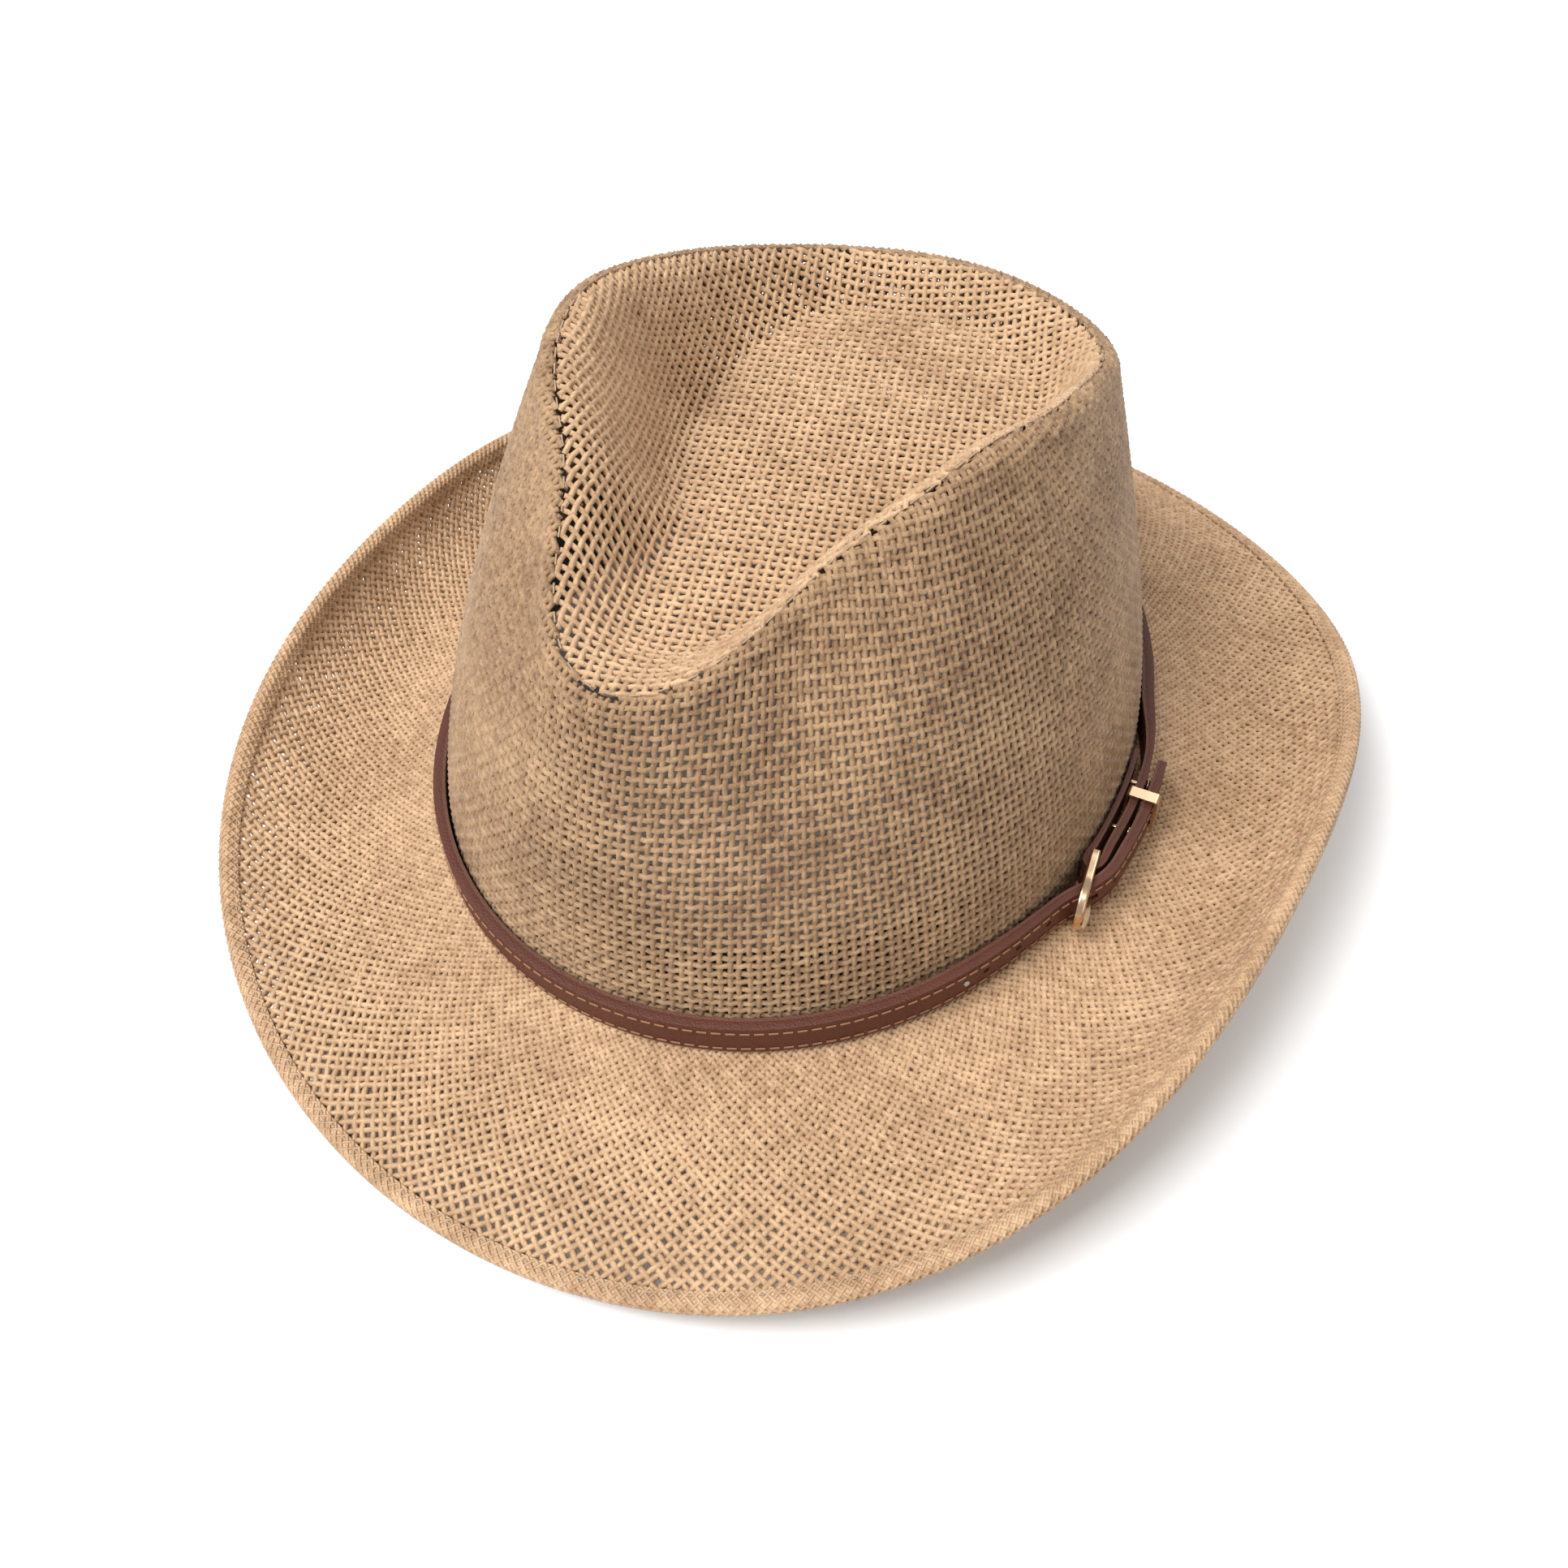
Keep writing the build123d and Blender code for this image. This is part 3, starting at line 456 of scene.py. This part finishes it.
class HatLooks(bpy.types.PropertyGroup):
    """Sizes and colours of the Blender pieces."""
    crown_pitch: millimetres("Crown pitch", 2.2, "Distance between strands of the crown")
    crown_strand: millimetres("Crown strand", 1.5, "Width of a strand of the crown")
    tip_turn: FloatProperty(name="Tip turn", default=20.0,
                            description="Turn of the tip's weave from side to side, in degrees")
    brim_lines: IntProperty(name="Brim strands", default=312,
                            description="Strands round the brim, for each way of the bias")
    brim_strand: millimetres("Brim strand", 1.5, "Width of a strand of the brim")
    hem_lines: IntProperty(name="Hem strands", default=460,
                           description="Strands round the hem, for each way of the bias")
    wave: millimetres("Wave", 0.3, "How far a strand rises and falls at its crossings")
    band_inner: millimetres("Band inside", 2.35, "From the crown's outside to the band's inside")
    band_outer: millimetres("Band outside", 1.7, "From the crown's outside to the band's outside")
    straw_light: tone("Light brim straw", 0.70, 0.475, 0.285)
    straw_dark: tone("Dark brim straw", 0.40, 0.235, 0.12)
    # The crown straw is the brim straw darkened: painted shade for the crown's upright side.
    shaded_crown_light: tone("Light crown straw with painted shade", 0.49, 0.312, 0.170)
    shaded_crown_dark: tone("Dark crown straw with painted shade", 0.205, 0.108, 0.048)
    leather_light: tone("Light leather", 0.135, 0.036, 0.017)
    leather_dark: tone("Dark leather", 0.060, 0.014, 0.007)
    gold_light: tone("Light gold", 0.80, 0.58, 0.38)
    gold_dark: tone("Dark gold", 0.62, 0.42, 0.25)


def looks():
    """The scene's settings."""
    return bpy.context.scene.hat_looks


def straw():
    """The straw material of the brim and the tip, made once."""
    made = bpy.data.materials.get("straw_woven")
    return made or straw_material("straw_woven", looks().straw_light, looks().straw_dark)


def wobble(rng, count, size):
    """A smooth random wander for a hand-laid strand."""
    raw = rng.normal(0, 1, count + 8)
    return size * np.convolve(raw, np.ones(9) / 3, "valid")


class HAT_OT_crown_side(bpy.types.Operator):
    """Weaves the crown's side: upright strands and rings, over and under each other"""
    bl_idname = "hat.crown_side"
    bl_label = "Crown side"

    def execute(self, context):
        pitch, wave = looks().crown_pitch, looks().wave
        count = round(GIRTH / pitch / 2) * 2
        rng = np.random.default_rng(SIDE_SEED)
        # Painted shade: the crown's upright side gets a darker copy of the brim straw.
        painted_shade_straw = straw_material("straw_crown", looks().shaded_crown_light, looks().shaded_crown_dark)
        lines = []
        for i in range(count):
            direction = np.interp(i / count * GIRTH, TABLE_PLACE, TABLE_DIRECTION)
            length = crest_height(direction) - LIP + LIP * pi / 2
            places = np.arange(0.2, length, pitch / 2)
            height = wave * np.cos(pi * (places / pitch + i)) - STRAW / 2
            direction = direction + wobble(rng, len(places), 0.11) / 80
            lines.append(wall_surface(direction, places, height))
        around = np.arange(2 * count + 1) / 2
        directions = np.interp(around / count * GIRTH, TABLE_PLACE, TABLE_DIRECTION)
        top = crest_height(directions) - LIP + LIP * pi / 2
        for j in range(int(np.max(top) / pitch) + 1):
            place = pitch * j
            height = -wave * np.cos(pi * (around + j)) - STRAW / 2
            places = place + np.abs(wobble(rng, len(directions), 0.13))
            places[-1] = places[0]
            points = wall_surface(directions, places, height)
            lines += runs(points, place < top)
        woven("crown_side_weave", lines, painted_shade_straw, looks().crown_strand, "crown_side")
        return {"FINISHED"}


class HAT_OT_crown_tip(bpy.types.Operator):
    """Weaves the crown's dented tip on a grid in plan"""
    bl_idname = "hat.crown_tip"
    bl_label = "Crown tip"

    def execute(self, context):
        pitch, wave = looks().crown_pitch, looks().wave
        turn = radians(looks().tip_turn)
        rng = np.random.default_rng(TIP_SEED)
        lines = []
        along = np.arange(-TIP_REACH, TIP_REACH, pitch / 2)
        last = int(TIP_REACH / pitch + 0.01)
        for family in (0, 1):
            for i in range(-last, last + 1):
                across = i * pitch + wobble(rng, len(along), 0.12)
                u, v = (along, across) if family == 0 else (across, along)
                x = u * cos(turn) - v * sin(turn) + 0 * along
                y = u * sin(turn) + v * cos(turn) + 0 * along
                sign = 1 if family == 0 else -1
                phase = along / pitch + TIP_REACH / pitch + i
                height = sign * wave * np.cos(pi * phase) - STRAW / 2
                points, inside = tip_surface(x, y, height)
                lines += runs(points, inside) if inside.any() else []
        woven("crown_tip_weave", lines, straw(), looks().crown_strand, "crown_tip")
        return {"FINISHED"}


def brim_lines(low, wave, lines_round, last):
    """Both bias families of a brim ply whose top is low under the brim's top surface."""
    pitch = GIRTH / lines_round
    scale = GIRTH / 2 / pi
    end = scale * np.log(1 + last / scale)
    spread = np.arange(0, end, pitch / 4)
    reach = scale * (np.exp(spread / scale) - 1)
    height = wave * np.cos(2 * pi * spread / pitch) - STRAW / 2 - low
    rng = np.random.default_rng(BRIM_SEED)
    lines = []
    for i in range(lines_round):
        for sign in (1, -1):
            angle = angle_at(i * pitch + sign * spread + wobble(rng, len(spread), 0.14))
            flip = height if sign > 0 else -STRAW - 2 * low - height
            lines.append(brim_surface(angle, reach, flip))
    return lines


def hem_lines(lines_round):
    """Fine bias strands from the hem's top edge round its nose to its lower edge."""
    edge = np.array(HEM_OUTLINE)
    place = np.concatenate([[0], np.cumsum(np.hypot(*np.diff(edge, axis=0).T))])
    pitch = GIRTH / lines_round
    spread = np.arange(0, place[-1], HEM_STEP)
    way = np.stack([np.interp(spread, place, edge[:, k]) for k in (0, 1)])
    slope = np.gradient(way, axis=1)
    out = np.stack([-slope[1], slope[0]]) / np.hypot(*slope)
    lines = []
    for i in range(lines_round):
        for sign in (1, -1):
            lift = HEM_WAVE * sign * np.cos(pi * spread)
            angle = angle_at(i * pitch + sign * spread * HEM_LEAN)
            reach = BRIM_WIDTH + way[0] + out[0] * lift
            lines.append(brim_surface(angle, reach, way[1] + out[1] * lift))
    return lines


class HAT_OT_brim(bpy.types.Operator):
    """Weaves the brim's two plies on the bias and its folded hem"""
    bl_idname = "hat.brim"
    bl_label = "Brim"

    def execute(self, context):
        wave, width, count = looks().wave, looks().brim_strand, looks().brim_lines
        reach = BRIM_WIDTH - WIRE_POCKET
        upper = brim_lines(0, wave, count, reach)
        woven("brim_top_weave", upper, straw(), width, "brim_top_ply")
        lower = brim_lines(PLY_STEP, wave, count, reach)
        woven("brim_under_weave", lower, straw(), width, "brim_under_ply", 3)
        woven("hem_weave", hem_lines(looks().hem_lines), straw(), HEM_STRAND, sides=3)
        return {"FINISHED"}


class HAT_OT_sweatband(bpy.types.Operator):
    """Ribbed cloth band inside the crown"""
    bl_idname = "hat.sweatband"
    bl_label = "Sweatband"

    def execute(self, context):
        light, dark = (0.16, 0.12, 0.09, 1), (0.09, 0.065, 0.05, 1)
        made_of = cloth_material("sweatband_cloth", light, dark)
        angles = np.linspace(0, 2 * pi, BAND_COLUMNS, endpoint=False)
        rib = BAND_RIB_DEPTH * np.cos(angles * BAND_RIBS)
        low, high = (corner[2] / MM - BREAK_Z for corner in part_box("sweatband"))
        inner, outer = looks().band_inner, looks().band_outer
        ups = np.linspace(low + BAND_EDGE, high - BAND_EDGE, BAND_ROWS)
        rows = [(outer, up) for up in ups] + [((inner + outer) / 2, high)]
        rows += [(inner, up) for up in ups[::-1]] + [((inner + outer) / 2, low)]
        direction = np.interp(angles, TABLE, TABLE_DIRECTION)
        foot = base_radius(direction)
        top = crest_radius(direction) + LIP
        grid = []
        for inwards, up in rows:
            share = max(up, 0.0) / (crest_height(direction) - LIP)
            radius = foot + (top - foot) * share ** WALL_BOW - inwards
            radius = radius + (rib if inwards == inner else 0)
            x, y = radius * np.sin(direction), -radius * np.cos(direction)
            grid.append(np.stack([x, y, up + 0 * radius], -1))
        grid = np.array(grid)
        piece = sheet_object("sweatband_ribbed", grid.transpose(1, 0, 2))
        ring = bmesh.new()
        ring.from_mesh(piece.data)
        loose = [edge for edge in ring.edges if edge.is_boundary]
        bmesh.ops.bridge_loops(ring, edges=loose)
        bmesh.ops.recalc_face_normals(ring, faces=ring.faces)
        ring.to_mesh(piece.data)
        ring.free()
        piece.data.materials.append(made_of)
        piece.data.polygons.foreach_set("use_smooth", [True] * len(piece.data.polygons))
        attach(piece, "hat")
        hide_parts("sweatband")
        return {"FINISHED"}


def rounded_copy(name, source, body, made_of, round_by, angle=35):
    """A merged copy of a CAD node with its sharp edges rounded."""
    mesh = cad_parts[source].data.copy()
    shape = bmesh.new()
    shape.from_mesh(mesh)
    bmesh.ops.remove_doubles(shape, verts=shape.verts, dist=MERGE_DISTANCE)
    bmesh.ops.dissolve_degenerate(shape, edges=shape.edges, dist=MERGE_DISTANCE)
    bmesh.ops.recalc_face_normals(shape, faces=shape.faces)
    shape.to_mesh(mesh)
    shape.free()
    mesh.materials.clear()
    mesh.materials.append(made_of)
    piece = bpy.data.objects.new(name, mesh)
    bpy.context.scene.collection.objects.link(piece)
    bevel = piece.modifiers.new("rounded", "BEVEL")
    bevel.width = round_by * MM
    bevel.segments = 3
    bevel.angle_limit = radians(angle)
    bevel.harden_normals = False
    for face in mesh.polygons:
        face.use_smooth = True
    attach(piece, body)
    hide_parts(source)
    return piece


class HAT_OT_belt(bpy.types.Operator):
    """Padded belt face with rounded edges"""
    bl_idname = "hat.belt"
    bl_label = "Belt"

    def execute(self, context):
        light, dark = looks().leather_light, looks().leather_dark
        leather = leather_material("belt_leather", light, dark, 0.5)
        rounded_copy("belt_face_padded", "belt_face", "hat", leather, BELT_ROUND)
        return {"FINISHED"}


class HAT_OT_materials(bpy.types.Operator):
    """Gives every CAD node that stays visible its procedural material"""
    bl_idname = "hat.materials"
    bl_label = "CAD materials"

    def execute(self, context):
        brown = leather_material("belt_edge", (0.16, 0.06, 0.035, 1), (0.08, 0.027, 0.016, 1), 0.5)
        thread = thread_material("belt_thread", (0.42, 0.20, 0.11, 1), (0.26, 0.11, 0.06, 1))
        pale = thread_material("straw_thread", (0.5, 0.36, 0.24, 1), (0.3, 0.2, 0.12, 1))
        gold = metal_material("gold", looks().gold_light, looks().gold_dark, 0.14)
        steel = metal_material("wire", (0.5, 0.5, 0.5, 1), (0.3, 0.3, 0.3, 1), 0.35)
        clear = thread_material("tack", (0.6, 0.56, 0.5, 1), (0.4, 0.36, 0.32, 1))
        tape = cloth_material("tape", (0.3, 0.22, 0.15, 1), (0.2, 0.14, 0.09, 1))
        label = cloth_material("label", (0.7, 0.67, 0.6, 1), (0.55, 0.52, 0.46, 1))
        by_slot = {"straw": straw(), "straw_thread": pale, "wire": steel, "tape": tape,
                   "label": label, "belt_back": brown, "belt_core": brown, "gold": gold,
                   "belt_thread": thread, "tack": clear, "belt_leather": brown,
                   "sweatband_cloth": tape}
        for name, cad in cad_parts.items():
            slot = cad.material_slots[0].material.name.split(".")[0]
            chosen = by_slot.get(slot)
            if chosen is None:
                chosen = next((m for key, m in by_slot.items() if key in slot), straw())
            for one in cad.material_slots:
                one.material = chosen
        return {"FINISHED"}


class HAT_OT_stage(bpy.types.Operator):
    """White floor, soft lights and the camera"""
    bl_idname = "hat.stage"
    bl_label = "Stage"

    def execute(self, context):
        scene = context.scene
        mesh = bpy.data.meshes.new("floor")
        mesh.from_pydata([(-6, -6, 0), (6, -6, 0), (6, 6, 0), (-6, 6, 0)], [], [(0, 1, 2, 3)])
        floor = bpy.data.objects.new("floor", mesh)
        scene.collection.objects.link(floor)
        made, tree, shader, place = material("floor_white")
        soft = noise(tree, place, 3.0)
        colour = mix(tree, soft, (0.93, 0.93, 0.93, 1), (0.96, 0.96, 0.96, 1))
        tree.links.new(colour.link, shader.inputs["Base Color"])
        shader.inputs["Roughness"].default_value = 0.9
        mesh.materials.append(made)
        world = bpy.data.worlds.new("studio")
        scene.world = world
        world.use_nodes = True
        world.node_tree.nodes["Background"].inputs["Color"].default_value = (1, 1, 1, 1)
        world.node_tree.nodes["Background"].inputs["Strength"].default_value = 0.5
        for name, spot, power, size in LAMPS:
            data = bpy.data.lights.new(name, "AREA")
            data.energy = power
            data.size = size
            lamp = bpy.data.objects.new(name, data)
            lamp.location = spot
            aim = LAMP_TARGET - Vector(spot)
            lamp.rotation_euler = aim.to_track_quat("-Z", "Y").to_euler()
            scene.collection.objects.link(lamp)
        flat = cos(CAMERA_ELEVATION)
        rise = sin(CAMERA_ELEVATION)
        back = Vector((sin(CAMERA_AZIMUTH) * flat, -cos(CAMERA_AZIMUTH) * flat, rise))
        level = Vector((cos(CAMERA_AZIMUTH), sin(CAMERA_AZIMUTH), 0))
        upright = back.cross(level)
        right = cos(CAMERA_ROLL) * level + sin(CAMERA_ROLL) * upright
        up = -sin(CAMERA_ROLL) * level + cos(CAMERA_ROLL) * upright
        spot = back * CAMERA_DISTANCE + right * CAMERA_RIGHT + up * CAMERA_UP
        spot += Vector((0, MIDDLE_Y, BREAK_Z))
        data = bpy.data.cameras.new("camera")
        data.lens = CAMERA_LENS
        data.sensor_width = 36.0
        data.clip_start = 0.01
        camera = bpy.data.objects.new("camera", data)
        scene.collection.objects.link(camera)
        turn = Matrix((right, up, back)).transposed().to_4x4()
        camera.matrix_world = Matrix.Translation(spot * MM) @ turn
        scene.camera = camera
        scene.view_settings.view_transform = "Standard"
        return {"FINISHED"}


class HAT_PT_panel(bpy.types.Panel):
    """Sizes, colours and the steps of the hat"""
    bl_idname = "HAT_PT_panel"
    bl_label = "Straw hat"
    bl_space_type = "VIEW_3D"
    bl_region_type = "UI"
    bl_category = "Hat"

    def draw(self, context):
        for key in HatLooks.__annotations__:
            self.layout.prop(context.scene.hat_looks, key)
        for step in STEPS:
            self.layout.operator(step.bl_idname)


STEPS = (HAT_OT_crown_side, HAT_OT_crown_tip, HAT_OT_brim, HAT_OT_sweatband, HAT_OT_belt,
         HAT_OT_materials, HAT_OT_stage)


def register():
    """Adds the classes and the settings."""
    for one in (HatLooks, HAT_PT_panel) + STEPS:
        bpy.utils.register_class(one)
    bpy.types.Scene.hat_looks = PointerProperty(type=HatLooks)


def unregister():
    """Takes the classes and the settings away."""
    del bpy.types.Scene.hat_looks
    for one in reversed((HatLooks, HAT_PT_panel) + STEPS):
        bpy.utils.unregister_class(one)


def main():
    """Builds every piece."""
    register()
    for step in STEPS:
        space, name = step.bl_idname.split(".")
        getattr(getattr(bpy.ops, space), name)()


if __name__ == "__main__":
    main()
